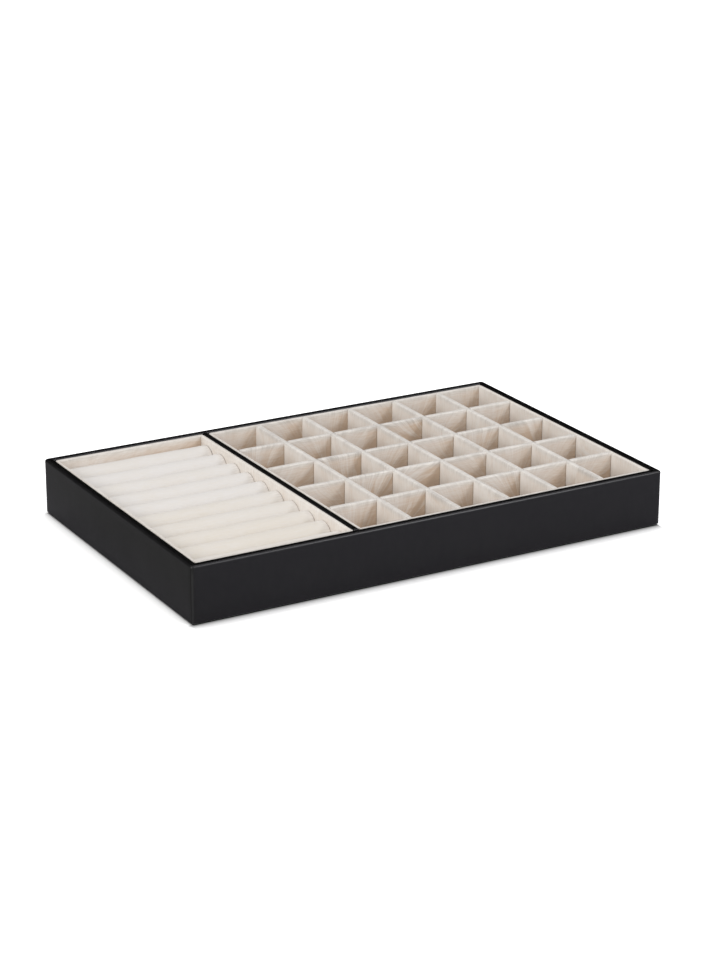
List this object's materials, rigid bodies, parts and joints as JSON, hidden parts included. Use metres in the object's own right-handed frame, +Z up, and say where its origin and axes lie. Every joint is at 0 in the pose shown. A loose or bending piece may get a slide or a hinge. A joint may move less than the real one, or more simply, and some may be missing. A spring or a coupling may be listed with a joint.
{
  "type": "jewellery tray",
  "caption": "Shallow open jewellery tray with a partition: velvet ring rolls on one side and an interlocking grid of small velvet cells on the other.",
  "frame": {"origin": "centre of the underside, on the surface that the tray stands on", "axes": "+X along the long front side, from the ring bay towards the divider grid; +Y from front to back; +Z up"},
  "size_m": [0.405, 0.2594, 0.0452],
  "materials": {
    "leatherette": "black leatherette, fine grain, satin",
    "board": "bare fibreboard, hidden under the covering",
    "velvet": "light beige short-pile velvet over card",
    "roll_velvet": "ivory short-pile velvet",
    "foam": "soft closed-cell foam, hidden",
    "felt": "thin black felt"
  },
  "bodies": {
    "root": {"base_board": "board", "front_wall": "board", "back_wall": "board", "left_wall": "board", "right_wall": "board", "partition_board": "board", "outer_wrap": "leatherette", "partition_wrap": "leatherette", "base_cover": "felt", "ring_liner_front": "velvet", "ring_liner_back": "velvet", "ring_liner_left": "velvet", "ring_liner_right": "velvet", "grid_liner_front": "velvet", "grid_liner_back": "velvet", "grid_liner_left": "velvet", "grid_liner_right": "velvet", "ring_riser": "foam", "ring_roll_01_sleeve": "roll_velvet", "ring_roll_01_core": "foam", "ring_roll_02_sleeve": "roll_velvet", "ring_roll_02_core": "foam", "ring_roll_03_sleeve": "roll_velvet", "ring_roll_03_core": "foam", "ring_roll_04_sleeve": "roll_velvet", "ring_roll_04_core": "foam", "ring_roll_05_sleeve": "roll_velvet", "ring_roll_05_core": "foam", "ring_roll_06_sleeve": "roll_velvet", "ring_roll_06_core": "foam", "ring_roll_07_sleeve": "roll_velvet", "ring_roll_07_core": "foam", "ring_roll_08_sleeve": "roll_velvet", "ring_roll_08_core": "foam", "ring_roll_09_sleeve": "roll_velvet", "ring_roll_09_core": "foam", "ring_roll_10_sleeve": "roll_velvet", "ring_roll_10_core": "foam", "grid_floor_pad": "velvet", "long_divider_1": "velvet", "long_divider_2": "velvet", "long_divider_3": "velvet", "long_divider_4": "velvet", "long_divider_5": "velvet", "cross_divider_1": "velvet", "cross_divider_2": "velvet", "cross_divider_3": "velvet", "cross_divider_4": "velvet"}
  },
  "joints": []
}
